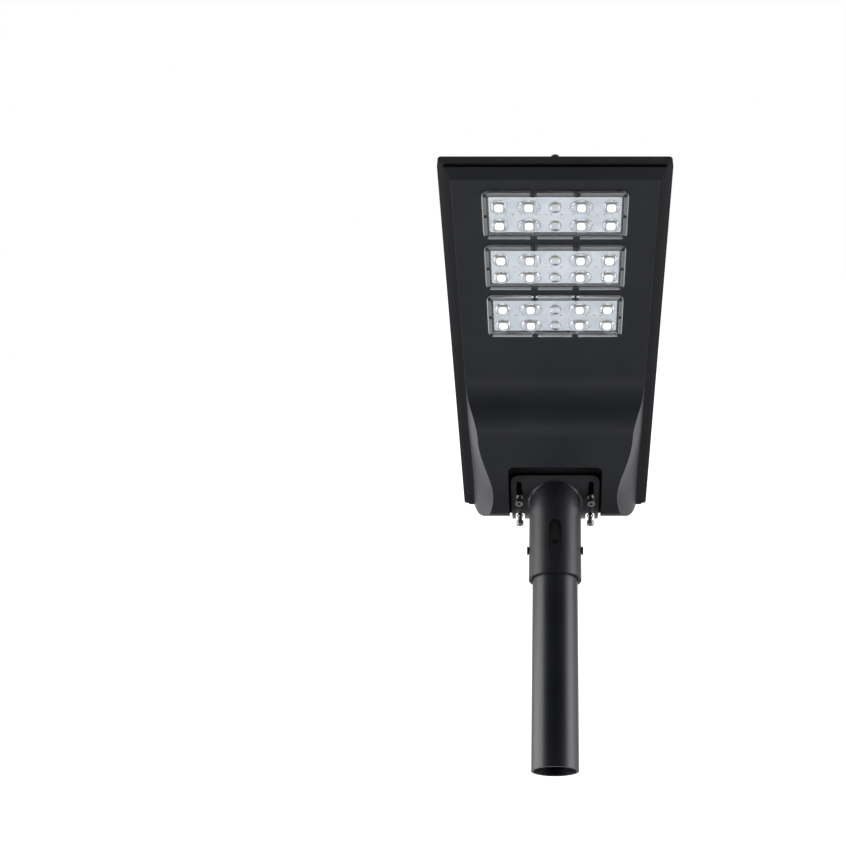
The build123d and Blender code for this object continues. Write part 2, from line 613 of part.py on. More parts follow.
for number, middle in enumerate(module_us, 1):
    spots = [at(x, middle + u) for x, u in lens_screw_spots]

    with BuildPart() as gasket:
        add(slab(module_width - 2 * gasket_inset, module_depth - 2 * gasket_inset, module_corner_r,
                 recess_w, deck_depth, middle))
        add(slab(inner_width, inner_depth, lens_inner_r, recess_w, deck_depth, middle), mode=Mode.SUBTRACT)
        for plane in spots:
            add(peg(plane, lens_screw_d + 2 * screw_play, recess_w, deck_depth), mode=Mode.SUBTRACT)
    save(gasket.part, f"lens_gasket_{number}")

    board_size = (inner_width - 2 * board_play, inner_depth - 2 * board_play)
    save(slab(*board_size, lens_inner_r, recess_w, recess_w + board_thick, middle), f"led_board_{number}")

    with BuildPart() as chips:
        with BuildSketch(at(0, middle, recess_w + board_thick)):
            with Locations(*dome_spots):
                Rectangle(chip_size, chip_size)
        extrude(amount=chip_height)
    save(chips.part, f"led_chips_{number}")

    with BuildPart() as lens:
        add(slab(module_width, module_depth, module_corner_r, deck_depth, face_w, middle))
        chamfer(lens.faces().sort_by(Axis(rim.origin, down))[-1].edges(), lens_chamfer)
        for x, u in dome_spots:
            add(dome(x, middle + u, dome_halves[x]))
        add(slab(inner_width, inner_depth, lens_inner_r, deck_depth, face_w - lens_skin, middle),
            mode=Mode.SUBTRACT)
        for plane in spots:
            add(peg(plane, lens_screw_d + 2 * screw_play, deck_depth, face_w), mode=Mode.SUBTRACT)
            add(peg(plane, lens_screw_head_d + 2 * screw_play, face_w - lens_screw_head_h, face_w + 1),
                mode=Mode.SUBTRACT)
    save(lens.part, f"lens_{number}")

group([cap_screw(plane, lens_screw_d, lens_tip_w, face_w - lens_screw_head_h, lens_screw_head_d,
                 lens_screw_head_h, lens_screw_key) for plane in lens_screw_planes], "lens_screws")

# ---------------------------------------------------------------- battery
holder_length = cell_length + 2 * (holder_play + holder_wall)
holder_floor = battery_w + cell_d / 2 + holder_play
cell_plane = Plane(origin=rim.from_local_coords((0, battery_u, battery_w)), x_dir=(1, 0, 0), z_dir=forward)
with BuildPart() as battery_cells:
    with BuildSketch(cell_plane):
        with GridLocations(cell_pitch, 1, cell_count, 1):
            Circle(cell_d / 2)
    extrude(amount=cell_length)
save(battery_cells.part, "battery_cells")

with BuildPart() as battery_holder:
    add(slab(holder_width, holder_length, holder_corner_r, strap_w, holder_floor + holder_wall, battery_mid))
    add(slab(holder_width - 2 * holder_wall, holder_length - 2 * holder_wall, holder_corner_r - holder_wall,
             strap_w - 1, holder_floor, battery_mid), mode=Mode.SUBTRACT)
save(battery_holder.part, "battery_holder")

with BuildPart() as battery_strap:
    add(slab(2 * strap_post_x + post_d, strap_width, strap_corner_r, strap_w - strap_thick, strap_w,
             battery_mid))
    for plane in strap_planes:
        add(peg(plane, post_screw_d + 2 * screw_play, strap_w - strap_thick, strap_w), mode=Mode.SUBTRACT)
save(battery_strap.part, "battery_strap")

group([cap_screw(upward(plane), post_screw_d, -strap_w - post_screw_grip, strap_thick - strap_w,
                 post_screw_head_d, post_screw_head_h, post_screw_key)
       for plane in strap_planes], "strap_screws")

holder_front = battery_mid + holder_length / 2
with BuildPart() as battery_board:
    with BuildSketch(Plane(origin=rim.from_local_coords((0, holder_front, battery_w)), x_dir=(1, 0, 0),
                           z_dir=forward)):
        Rectangle(holder_width - 2 * board_side, board_share * cell_d)
    extrude(amount=pcb_thick)
save(battery_board.part, "battery_board")

# ---------------------------------------------------------------- charge controller
case_low = case_top + case_height
case_inner = (case_length - 2 * case_wall, case_depth - 2 * case_wall)
case_board_w = case_low - case_wall - case_board_rise
with BuildPart() as controller_case:
    add(slab(case_length, case_depth, case_corner_r, case_top, case_low, case_u))
    add(slab(2 * ear_x + ear_size, ear_size, case_corner_r, ear_w - ear_thick, ear_w, case_u))
    add(slab(*case_inner, case_corner_r - case_wall, case_top - 1, case_low - case_wall, case_u),
        mode=Mode.SUBTRACT)
    for plane in ear_planes:
        add(peg(plane, post_screw_d + 2 * screw_play, ear_w - ear_thick, ear_w), mode=Mode.SUBTRACT)
save(controller_case.part, "controller_case")

save(slab(case_length, case_depth, case_corner_r, case_top - case_wall, case_top, case_u), "controller_lid")
save(slab(*case_inner, case_corner_r - case_wall, case_board_w - pcb_thick, case_board_w, case_u),
     "controller_board")
group([cap_screw(upward(plane), post_screw_d, -ear_w - post_screw_grip, ear_thick - ear_w, post_screw_head_d,
                 post_screw_head_h, post_screw_key) for plane in ear_planes], "case_screws")


# ---------------------------------------------------------------- leads
def lead(points, radius, diameter):
    """Round lead through x, u, w points, with tangent arcs at its turns."""
    places = [rim.from_local_coords(point) for point in points]
    with BuildPart() as piece:
        with BuildLine() as route:
            FilletPolyline(*places, radius=radius)
        with BuildSketch(Plane(origin=places[0], z_dir=places[1] - places[0])):
            Circle(diameter / 2)
        sweep(path=route.line)
    return piece.part


case_front, case_rear = case_u + case_depth / 2, case_u - case_depth / 2
junction_rear = junction_u - junction_length / 2
panel_lead_w = bead_w + junction_height - lead_d / 2 - 1
panel_lead_x = case_length / 2 - case_wall - lead_d - lead_jog
panel_lead_spots = ((panel_lead_x + lead_jog, junction_rear),
                    (panel_lead_x + lead_jog, junction_rear - lead_straight),
                    (panel_lead_x, case_front + lead_straight),
                    (panel_lead_x, case_front))
save(lead([(x, u, panel_lead_w) for x, u in panel_lead_spots], lead_bend, lead_d), "panel_lead")
battery_lead_x = -case_length / 2 - battery_lead_side
battery_lead_u = case_rear + 1.5 * lead_d
battery_lead_spots = ((battery_lead_x, holder_front + pcb_thick),
                      (battery_lead_x, battery_lead_u),
                      (-case_length / 2, battery_lead_u))
save(lead([(x, u, battery_lead_w) for x, u in battery_lead_spots], lead_bend, lead_d), "battery_lead")
group([lead([(x, case_front, led_lead_w), (x, u, led_lead_w), (x, u, recess_w)], led_lead_bend, led_lead_d)
       for x, u in zip(lead_xs, module_us)], "led_leads")


def grommet(plane):
    """Rubber bush in the deck for one lead."""
    with BuildPart() as piece:
        add(peg(plane, grommet_head_d, deck_skin - grommet_head_h, deck_skin))
        add(peg(plane, grommet_d, deck_skin, recess_w))
        add(peg(plane, led_lead_d + 2 * screw_play, deck_skin - grommet_head_h, recess_w), mode=Mode.SUBTRACT)
    return piece.part


group([grommet(plane) for plane in lead_planes], "lead_grommets")
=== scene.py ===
"""The looks of a solar street lamp on a section of its pole, in metres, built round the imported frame."""
from math import cos, pi, radians, sin

import bpy
from mathutils import Matrix, Vector


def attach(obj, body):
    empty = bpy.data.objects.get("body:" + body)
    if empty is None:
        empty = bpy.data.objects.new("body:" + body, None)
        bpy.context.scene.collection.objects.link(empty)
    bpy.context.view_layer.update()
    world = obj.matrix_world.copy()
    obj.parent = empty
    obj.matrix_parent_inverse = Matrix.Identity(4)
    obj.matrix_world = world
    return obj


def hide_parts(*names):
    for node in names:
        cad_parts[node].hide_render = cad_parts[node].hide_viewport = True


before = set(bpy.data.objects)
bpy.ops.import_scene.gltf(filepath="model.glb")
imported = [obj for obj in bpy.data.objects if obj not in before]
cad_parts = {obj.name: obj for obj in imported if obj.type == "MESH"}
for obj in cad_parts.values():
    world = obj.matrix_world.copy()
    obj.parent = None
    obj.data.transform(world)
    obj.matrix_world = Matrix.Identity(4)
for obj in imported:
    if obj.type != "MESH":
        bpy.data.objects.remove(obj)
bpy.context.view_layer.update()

# ---- Pole section ----
# Round steel tube of 60 mm, zinc dipped and powder coated in satin black. The baked powder leaves
# a fine orange peel, with a faint cloudiness where the coat is a little thicker.
cloud_size, peel_size, peel_depth, pits_per_metre = 0.07, 0.0011, 0.00022, 1400.0
# Painted shade: the nearly black colour put into recesses in place of the shadow that lies in them.
painted_recess_shade = (0.0015, 0.0015, 0.0018, 1)


class Sock:
    """A socket of a finish's nodes, so that the maths between sockets is written as sums."""

    def __init__(self, tree, out=None):
        self.tree = tree
        self.out = out

    def make(self, kind, settings=None, inputs=None, out=0):
        """Adds a node with its settings and the values or links of its sockets."""
        node = self.tree.nodes.new(kind)
        for name, value in (settings or {}).items():
            setattr(node, name, value)
        for name, value in (inputs or {}).items():
            if isinstance(value, Sock):
                self.tree.links.new(value.out, node.inputs[name])
            else:
                node.inputs[name].default_value = value
        return Sock(self.tree, node.outputs[out] if node.outputs else None)

    def maths(self, operation, first, second=0.0):
        return self.make("ShaderNodeMath", {"operation": operation}, {0: first, 1: second})

    def __add__(self, other):
        return self.maths("ADD", self, other)

    def __radd__(self, other):
        return self.maths("ADD", other, self)

    def __sub__(self, other):
        return self.maths("SUBTRACT", self, other)

    def __rsub__(self, other):
        return self.maths("SUBTRACT", other, self)

    def __mul__(self, other):
        return self.maths("MULTIPLY", self, other)

    def __rmul__(self, other):
        return self.maths("MULTIPLY", other, self)

    def __truediv__(self, other):
        return self.maths("DIVIDE", self, other)

    def __mod__(self, other):
        return self.maths("FLOORED_MODULO", self, other)

    def __abs__(self):
        return self.maths("ABSOLUTE", self)

    def largest(self, other):
        return self.maths("MAXIMUM", self, other)

    def least(self, other):
        return self.maths("MINIMUM", self, other)

    def ramp(self, start, end, low=0.0, high=1.0):
        """Goes smoothly from low to high as this value goes from start to end."""
        return self.make("ShaderNodeMapRange", {"interpolation_type": "SMOOTHSTEP"},
                         {"Value": self, "From Min": start, "From Max": end, "To Min": low, "To Max": high})

    def between(self, first, second):
        """Colour between two others, with this value as the share of the second."""
        return self.make("ShaderNodeMix", {"data_type": "RGBA"}, {0: self, 6: first, 7: second}, out=2)

    def noise(self, place, size, detail=2.0):
        """Cloudy noise whose lumps are about `size` metres across."""
        return self.make("ShaderNodeTexNoise", {}, {"Vector": place, "Scale": 1 / size, "Detail": detail})

    def relief(self, height, depth, strength=1.0):
        """Normal for a surface whose height goes up and down by `depth` metres."""
        return self.make("ShaderNodeBump", {}, {"Strength": strength, "Distance": depth, "Height": height})

    def along(self, place, direction):
        """Distance of a place along a direction."""
        return self.make("ShaderNodeVectorMath", {"operation": "DOT_PRODUCT"},
                         {0: place, 1: direction}, out=1)


def finish(name):
    """A new material with no nodes in it, its maker of nodes and the places on the piece."""
    material = bpy.data.materials.new(name)
    material.use_nodes = True
    material.node_tree.nodes.clear()
    nodes = Sock(material.node_tree)
    return material, nodes, nodes.make("ShaderNodeTexCoord", out=3)


def surface(material, nodes, inputs):
    """Ends a finish with its surface shader."""
    shader = nodes.make("ShaderNodeBsdfPrincipled", {}, inputs)
    nodes.make("ShaderNodeOutputMaterial", {}, {"Surface": shader})
    return material


def dress(material, *names):
    """Gives CAD nodes their finish."""
    for name in names:
        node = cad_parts[name]
        if not node.material_slots:
            node.data.materials.append(material)
        for slot in node.material_slots:
            slot.material = material


def powder_coat(name, thin, thick, roughness, painted_shade=None):
    """Baked powder: fine peel, clouds of two close colours and a slightly uneven gloss. The optional
    function gives the share, over the piece, of recesses that get painted shade: nearly black and
    matt, in place of the shadow that lies in them. That is a guess at the real coating: such places
    look black on the lamp, and may only be in shadow."""
    material, nodes, place = finish(name)
    cloud = nodes.noise(place, cloud_size, 3.0)
    grain = nodes.noise(place, peel_size, 3.0)
    pits = nodes.make("ShaderNodeTexVoronoi", {}, {"Vector": place, "Scale": pits_per_metre})
    colour = (cloud * 0.8 + grain * 0.2).ramp(0.35, 0.65).between(thin, thick)
    gloss = roughness - 0.04 + cloud * 0.05 + grain * 0.05
    if painted_shade:
        # Painted shade: recesses turn nearly black and matt, standing in for their shadow.
        deep = painted_shade(nodes, place)
        colour = deep.between(colour, painted_recess_shade)
        gloss = gloss + deep * 0.45
    return surface(material, nodes, {
        "Base Color": colour,
        "Roughness": gloss,
        "Specular IOR Level": 0.42,
        "Normal": nodes.relief(grain * 0.7 + pits * 0.3, peel_depth, 0.35)})


dress(powder_coat("pole_paint", (0.0085, 0.0095, 0.0135, 1), (0.012, 0.013, 0.0175, 1), 0.36), "pole_tube")

# ---- Pole bracket ----
# Cast aluminium sleeve in one piece with its curved, slotted flange, shot blasted and powder coated
# in the housing's charcoal. Two side screws and two grub screws clamp it on the pole.
sleeve_r, groove_half, groove_side = 0.035, 0.0086, 0.0002
groove_foot, groove_head, groove_fade = 0.262, 0.327, 0.002
groove_deep, groove_shallow, groove_front = 0.0028, 0.0004, 0.02
mark_size, mark_depth, stain_size = 0.00035, 0.00005, 0.004


def groove_painted_shade(nodes, place):
    """Painted shade in the deep end of the long groove on the sleeve's front, nearly black where it lies in
    shadow.
    """
    sideways = nodes.along(place, (1, 0, 0))
    front = nodes.along(place, (0, -1, 0))
    radius = nodes.maths("SQRT", sideways * sideways + front * front)
    within = abs(sideways).ramp(groove_half - groove_side, groove_half, 1.0, 0.0)
    height = nodes.along(place, (0, 0, 1))
    above = height.ramp(groove_foot, groove_foot + groove_fade)
    below = height.ramp(groove_head - groove_fade, groove_head, 1.0, 0.0)
    sunk = radius.ramp(sleeve_r - groove_deep, sleeve_r - groove_shallow, 1.0, 0.0)
    return sunk * within * (above * below) * front.ramp(groove_front, groove_front + groove_fade / 2)


bracket_thin, bracket_thick = (0.0105, 0.0112, 0.0145, 1), (0.015, 0.0158, 0.0195, 1)
# The groove's deep end carries painted shade in place of its shadow.
dress(powder_coat("bracket_paint", bracket_thin, bracket_thick, 0.40, groove_painted_shade), "pole_bracket")


def turned_metal(name, colour, roughness, worn):
    """Bright screw metal with fine turning marks and faint stains."""
    material, nodes, place = finish(name)
    marks = nodes.noise(place, mark_size, 4.0)
    stain = nodes.noise(place, stain_size, 2.0).ramp(0.4, 0.7)
    return surface(material, nodes, {
        "Base Color": stain.between(colour, worn),
        "Metallic": 1.0,
        "Roughness": roughness + marks * 0.12 + stain * 0.08,
        "Normal": nodes.relief(marks, mark_depth, 0.3)})


dress(turned_metal("blackened_steel", (0.05, 0.05, 0.055, 1), 0.32, (0.09, 0.09, 0.09, 1)),
      "side_set_screws", "grub_screws")

# ---- Bolts of the bracket ----
# Four M6 stainless socket screws through the curved slots, each with a split spring washer. They hold
# the lamp at its tilt by friction alone.
stainless = turned_metal("stainless", (0.55, 0.55, 0.56, 1), 0.22, (0.42, 0.42, 0.43, 1))
dress(stainless, "bracket_bolts")
dress(turned_metal("spring_steel", (0.62, 0.62, 0.63, 1), 0.18, (0.5, 0.5, 0.51, 1)), "spring_washers")

# ---- Housing ----
# One die casting: flange under the panel, light deck, S-shaped slope, battery belly with its hollow
# cheeks, and the pocket over the bracket. Powder coated in satin charcoal, inside and out.
tilt = radians(15)
forward = Vector((0, -cos(tilt), sin(tilt)))
down = Vector((0, -sin(tilt), -cos(tilt)))
pocket_half, pocket_front, pocket_fade = 0.0629, 0.1272, 0.0004
belly_depth, belly_edge, shelf_depth, shelf_fade = 0.040, 0.0012, 0.005, 0.001


def spans(name):
    """Lowest and highest x, forward and downward places of a node, along the lamp's own slant."""
    corners = [vertex.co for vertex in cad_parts[name].data.vertices]
    along = [[place.x for place in corners], [place.dot(forward) for place in corners],
             [place.dot(down) for place in corners]]
    return Vector(min(row) for row in along), Vector(max(row) for row in along)


def pocket_painted_shade(nodes, place):
    """Painted shade on the walls and ceiling of the bracket's pocket, nearly black where they lie in
    shadow.
    """
    low, high = spans("panel_frame")
    across = abs(nodes.along(place, (1, 0, 0))).ramp(pocket_half, pocket_half + pocket_fade, 1.0, 0.0)
    run = (nodes.along(place, forward) - low.y).ramp(pocket_front, pocket_front + pocket_fade, 1.0, 0.0)
    depth = nodes.along(place, down) - high.z
    above = depth.ramp(belly_depth - belly_edge, belly_depth - pocket_fade, 1.0, 0.0)
    return across * run * (above * depth.ramp(shelf_depth - shelf_fade, shelf_depth))


housing_thin, housing_thick = (0.0128, 0.0140, 0.0180, 1), (0.0162, 0.0174, 0.0212, 1)
# The pocket's walls and ceiling carry painted shade in place of their shadow.
dress(powder_coat("housing_paint", housing_thin, housing_thick, 0.42, pocket_painted_shade), "housing")


# ---- Rubber parts ----
# Moulded black silicone and EPDM: the cord seal under the panel's frame, a gasket under each lens
# plate and the bushes of the leads. Matt, with a slight bloom.
bloom_size, skin_size, skin_depth = 0.012, 0.0006, 0.00008


def rubber(name, dark, bloom):
    """Matt moulded rubber, a little paler where it has bloomed."""
    material, nodes, place = finish(name)
    patches = nodes.noise(place, bloom_size, 3.0).ramp(0.4, 0.75)
    skin = nodes.noise(place, skin_size, 2.0)
    return surface(material, nodes, {
        "Base Color": patches.between(dark, bloom),
        "Roughness": 0.7 + skin * 0.15,
        "Normal": nodes.relief(skin, skin_depth, 0.4)})


dress(rubber("black_rubber", (0.012, 0.012, 0.012, 1), (0.022, 0.022, 0.022, 1)),
      "frame_seal", "lead_grommets", "lens_gasket_1", "lens_gasket_2", "lens_gasket_3")

# ---- Battery ----
# Five 32 mm lithium iron phosphate cells in heat-shrink sleeves, side by side in a black moulded tray
# under a thin strap, with their protection board across the front end.
sleeve_lap, crease_size, crease_depth = 0.0022, 0.003, 0.0002
spark_size, spark_depth, flow_size = 0.0005, 0.0001, 0.03
track_pitch, track_depth = 0.0016, 0.00004


def shrink_sleeve():
    """Blue sleeve with pale ends where it turns over the rim of each cell."""
    material, nodes, place = finish("cell_sleeve")
    low, high = spans("battery_cells")
    run = nodes.along(place, forward)
    rim = (run - low.y).least(high.y - run).ramp(0.0, sleeve_lap)
    creases = nodes.noise(place, crease_size, 3.0)
    return surface(material, nodes, {
        "Base Color": rim.between((0.55, 0.56, 0.58, 1), (0.012, 0.10, 0.24, 1)),
        "Roughness": 0.25 + creases * 0.15,
        "Metallic": 1 - rim,
        "Normal": nodes.relief(creases, crease_depth, 0.4)})


def moulded(name, colour, roughness):
    """Moulded plastic with a fine spark-eroded grain."""
    material, nodes, place = finish(name)
    grain = nodes.noise(place, spark_size, 2.0)
    flow = nodes.noise(place, flow_size, 2.0)
    lighter = tuple(channel * 1.3 for channel in colour[:3]) + (1,)
    return surface(material, nodes, {
        "Base Color": flow.ramp(0.35, 0.7).between(colour, lighter),
        "Roughness": roughness + grain * 0.12,
        "Normal": nodes.relief(grain, spark_depth, 0.5)})


def circuit_board(name, mask, trace):
    """Solder mask over copper tracks, which show as slightly paler lines on a grid."""
    material, nodes, place = finish(name)
    across = nodes.along(place, (1, 0, 0))
    run = nodes.along(place, forward)
    wander = nodes.noise(place, track_pitch * 6, 1.0).ramp(0.4, 0.6)
    lines = abs((across / track_pitch + wander * 2) % 1.0 - 0.5).ramp(0.12, 0.2)
    cuts = abs((run / track_pitch) % 1.0 - 0.5).ramp(0.10, 0.18)
    tracks = 1 - lines.least(cuts)
    return surface(material, nodes, {
        "Base Color": (tracks * 0.6).between(mask, trace),
        "Roughness": 0.35 + tracks * 0.1,
        "Normal": nodes.relief(tracks, track_depth, 0.5)})


dress(shrink_sleeve(), "battery_cells")
dress(moulded("black_plastic", (0.015, 0.015, 0.016, 1), 0.5),
      "battery_holder", "battery_strap", "junction_box")
dress(circuit_board("green_board", (0.01, 0.09, 0.035, 1), (0.05, 0.22, 0.09, 1)),
      "battery_board", "controller_board")
dress(stainless, "strap_screws")

# ---- Charge controller ----
# Extruded aluminium case with a flat lid and two ears, natural anodised. It stands on two posts above
# the start of the slope.
drawn_size, drawn_depth, drawn_stretch, tint_size = 0.0004, 0.00003, 0.02, 0.05


def anodised(name, colour, roughness):
    """Anodised aluminium with faint drawing lines along the bar."""
    material, nodes, place = finish(name)
    drawn = nodes.make("ShaderNodeMapping", {}, {"Vector": place, "Scale": (1.0, drawn_stretch, 1.0)})
    lines = nodes.noise(drawn, drawn_size, 3.0)
    cloud = nodes.noise(place, tint_size, 2.0)
    lighter = tuple(channel * 1.25 for channel in colour[:3]) + (1,)
    return surface(material, nodes, {
        "Base Color": cloud.ramp(0.3, 0.7).between(colour, lighter),
        "Metallic": 0.35,
        "Roughness": roughness + lines * 0.10,
        "Normal": nodes.relief(lines, drawn_depth, 0.35)})


dress(anodised("case_aluminium", (0.42, 0.43, 0.44, 1), 0.35), "controller_case", "controller_lid")
dress(stainless, "case_screws")

# ---- Leads ----
# Round black leads from the panel, the battery and the three light boards to the controller. Their
# sheaths are extruded PVC with a soft shine.
dress(moulded("lead_sheath", (0.02, 0.02, 0.021, 1), 0.35), "panel_lead", "battery_lead", "led_leads")

# ---- Solar panel ----
# Tempered glass over 36 monocrystalline cells on a white backsheet, bedded in a bead of sealant inside
# a black anodised frame. Thin tinned ribbons run along the cells and fine fingers across them.
cell_columns, cell_rows, cell_gap = 4, 9, 0.003
ribbon_count, ribbon_half = 5, 0.0006
finger_pitch, finger_half = 0.0018, 0.00009
shade_size, ripple_size, ripple_depth = 0.045, 0.02, 0.0001
ribbon_silver, finger_silver = (0.55, 0.56, 0.58, 1), (0.20, 0.22, 0.26, 1)


def silicon():
    """Dark blue silicon with its silver ribbons and fingers."""
    material, nodes, place = finish("silicon_cell")
    low, high = spans("solar_cells")
    column = (high.x - low.x + cell_gap) / cell_columns
    row = (high.y - low.y + cell_gap) / cell_rows
    across = nodes.along(place, (1, 0, 0)) - low.x
    run = nodes.along(place, forward) - low.y
    cell_width = column - cell_gap
    ribbon_pitch = cell_width / ribbon_count
    ribbon = abs((across % column) / cell_width * ribbon_count % 1.0 - 0.5) * ribbon_pitch
    ribbons = 1 - ribbon.ramp(ribbon_half * 0.8, ribbon_half)
    finger = abs((run % row) / finger_pitch % 1.0 - 0.5) * finger_pitch
    fingers = 1 - finger.ramp(finger_half, finger_half * 2)
    shade = nodes.noise(place, shade_size, 1.0).ramp(0.3, 0.7)
    blue = shade.between((0.004, 0.007, 0.022, 1), (0.007, 0.012, 0.034, 1))
    fingered = (fingers * 0.35).between(blue, finger_silver)
    return surface(material, nodes, {
        "Base Color": ribbons.between(fingered, ribbon_silver),
        "Metallic": ribbons * 0.8,
        "Roughness": 0.22 + ribbons * 0.1 + shade * 0.05,
        "Coat Weight": 0.3})


def clear(name, tint, roughness, index):
    """Clear plate that bends what is seen through it and lets the lamps' light pass."""
    material, nodes, place = finish(name)
    ripple = nodes.noise(place, ripple_size, 2.0)
    body = nodes.make("ShaderNodeBsdfPrincipled", {}, {
        "Base Color": tint, "Roughness": roughness, "IOR": index, "Transmission Weight": 1.0,
        "Normal": nodes.relief(ripple, ripple_depth, 0.1)})
    passing = nodes.make("ShaderNodeBsdfTransparent", {}, {"Color": tint})
    shadow = nodes.make("ShaderNodeLightPath", {}, {}, out=1)
    mixed = nodes.make("ShaderNodeMixShader", {}, {0: shadow, 1: body, 2: passing})
    nodes.make("ShaderNodeOutputMaterial", {}, {"Surface": mixed})
    return material


dress(silicon(), "solar_cells")
dress(clear("panel_glass", (0.95, 0.98, 0.97, 1), 0.04, 1.5), "solar_glass")
dress(moulded("white_film", (0.42, 0.43, 0.43, 1), 0.45), "backsheet")
dress(rubber("sealant", (0.02, 0.02, 0.02, 1), (0.03, 0.03, 0.03, 1)), "glass_bead")
dress(powder_coat("frame_anodised", (0.022, 0.0235, 0.027, 1), (0.027, 0.0285, 0.032, 1), 0.36),
      "panel_frame")
dress(turned_metal("frame_screw_steel", (0.10, 0.10, 0.105, 1), 0.3, (0.16, 0.16, 0.16, 1)), "frame_screws")
dress(moulded("dome_cap_plastic", (0.012, 0.012, 0.013, 1), 0.35), "nose_screw")

# ---- Light boards ----
# Three aluminium boards under white solder mask, ten light points each in two rows. A line of small
# resistors runs between the rows.
mask_size, weave_size, weave_depth = 0.01, 0.0006, 0.00003
component_width, component_height, component_bevel, speck_size = 0.0012, 0.0006, 0.00012, 0.0004
short_part, long_part = 0.0016, 0.0026
component_row = ((-0.064, long_part), (-0.055, short_part), (-0.0465, long_part), (-0.038, short_part),
                 (-0.021, long_part), (-0.010, short_part), (-0.004, short_part), (0.007, long_part),
                 (0.020, short_part), (0.037, long_part), (0.0465, short_part), (0.0545, long_part),
                 (0.063, short_part))


def onto_lamp(run, depth):
    """Hangs a piece drawn flat, with its height up, under the lamp at a forward and a downward place."""
    turned = Matrix((Vector((1, 0, 0)), forward, down)).transposed().to_4x4()
    return Matrix.Translation(forward * run + down * depth) @ turned


def white_board():
    """White solder mask, a little cooler between the tracks under it, with a weak glow of its own in
    place of the light that the lenses spread."""
    material, nodes, place = finish("white_board")
    cloud = nodes.noise(place, mask_size, 2.0)
    weave = nodes.noise(place, weave_size, 1.0)
    return surface(material, nodes, {
        "Base Color": cloud.ramp(0.35, 0.65).between((0.42, 0.44, 0.46, 1), (0.47, 0.48, 0.495, 1)),
        "Roughness": 0.35 + weave * 0.2,
        "Emission Color": (0.80, 0.86, 1.0, 1),
        "Emission Strength": 0.07,
        "Normal": nodes.relief(weave, weave_depth, 0.3)})


def mesh_object(name, vertices, faces, smooth):
    """New piece from its corners and faces."""
    mesh = bpy.data.meshes.new(name)
    mesh.from_pydata([tuple(vertex) for vertex in vertices], [], faces)
    mesh.polygons.foreach_set("use_smooth", [smooth] * len(faces))
    mesh.update()
    piece = bpy.data.objects.new(name, mesh)
    bpy.context.scene.collection.objects.link(piece)
    return piece


def block(vertices, faces, x, length):
    """Adds one small resistor at a place along x, with bevelled upper edges, standing on height 0."""
    start = len(vertices)
    shoulder = component_height - component_bevel
    for inset, level in ((0.0, 0.0), (0.0, shoulder), (component_bevel, component_height)):
        half_x, half_run = length / 2 - inset, component_width / 2 - inset
        vertices += [(x - half_x, -half_run, level), (x + half_x, -half_run, level),
                     (x + half_x, half_run, level), (x - half_x, half_run, level)]
    faces += [tuple(start + i for i in (3, 2, 1, 0)), tuple(start + i for i in (8, 9, 10, 11))]
    for lower in (start, start + 4):
        for i in range(4):
            following = (i + 1) % 4
            faces.append((lower + i, lower + following, lower + 4 + following, lower + 4 + i))


def component_skin():
    """Speckled ochre ceramic."""
    material, nodes, place = finish("component_skin")
    speck = nodes.noise(place, speck_size, 2.0)
    return surface(material, nodes, {
        "Base Color": speck.ramp(0.4, 0.6).between((0.30, 0.22, 0.06, 1), (0.42, 0.33, 0.12, 1)),
        "Roughness": 0.4 + speck * 0.15})


dress(white_board(), "led_board_1", "led_board_2", "led_board_3")
component_finish = component_skin()
for number in (1, 2, 3):
    low, high = spans(f"led_board_{number}")
    vertices, faces = [], []
    for x, length in component_row:
        block(vertices, faces, x, length)
    parts = mesh_object(f"board_parts_{number}", vertices, faces, False)
    parts.data.transform(onto_lamp((low.y + high.y) / 2, high.z))
    parts.data.materials.append(component_finish)
    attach(parts, "head")

# ---- Light points ----
# White ceramic packages of 3.5 mm whose face is yellow phosphor. The outer and the wide ones are lit,
# and the middle pair of each board only glimmers.
dim_until, lit_from, chip_grain = 0.008, 0.014, 0.0003
face_top, face_foot = 0.0001, 0.0002
dim_yellow, lit_yellow = (0.30, 0.27, 0.17, 1), (1.0, 0.93, 0.66, 1)


def phosphor():
    """Yellow phosphor that glows, weakly in the middle of the board."""
    material, nodes, place = finish("led_phosphor")
    across = abs(nodes.along(place, (1, 0, 0)))
    lit = across.ramp(dim_until, lit_from)
    grain = nodes.noise(place, chip_grain, 2.0)
    depth = nodes.along(place, down)
    face = depth.ramp(chip_face - face_foot, chip_face - face_top)
    return surface(material, nodes, {
        "Base Color": grain.between((0.26, 0.23, 0.13, 1), dim_yellow),
        "Roughness": 0.5,
        "Emission Color": face.between((0, 0, 0, 1), lit.between(dim_yellow, lit_yellow)),
        "Emission Strength": 1.1})


chip_face = spans("led_chips_1")[1].z
dress(phosphor(), "led_chips_1", "led_chips_2", "led_chips_3")

# ---- Lens plates ----
# One clear polycarbonate moulding over each board: a flat rim that sits on the gasket and has a fine
# seam round it, ten domes with a hollow over each light point, and counterbores for its ten screws.
plate_corner, plate_rim, plate_bevel = 0.008, 0.006, 0.001
plate_height, plate_skin = 0.0045, 0.0016
field_sink, field_slope = 0.0003, 0.0003
seam_inset, seam_half, seam_slope, seam_depth = 0.0044, 0.0003, 0.0002, 0.0006
dome_row, dome_half_run = 0.013, 0.009
dome_places = {-0.062: 0.009, -0.029: 0.0125, 0.0: 0.007, 0.029: 0.0125, 0.062: 0.009}
dome_square, dome_flat, dome_round = 2.3, 2.6, 0.62
hollow_half, hollow_depth, hollow_square, hollow_round = 0.0052, 0.0028, 4, 0.4
dim_reach, boss_x, boss_half, boss_fade, screw_inset = 0.012, 0.024, 0.0036, 0.0004, 0.0036
frost_end, frost_start, frost = 0.0010, 0.0008, 0.55
hole_r, counterbore_r, counterbore_seat, cutter_foot, cutter_top = 0.00135, 0.0024, 0.0033, -0.001, 0.007
mesh_step, corner_steps, cutter_sides, level_slack = 0.001, 8, 24, 0.0001
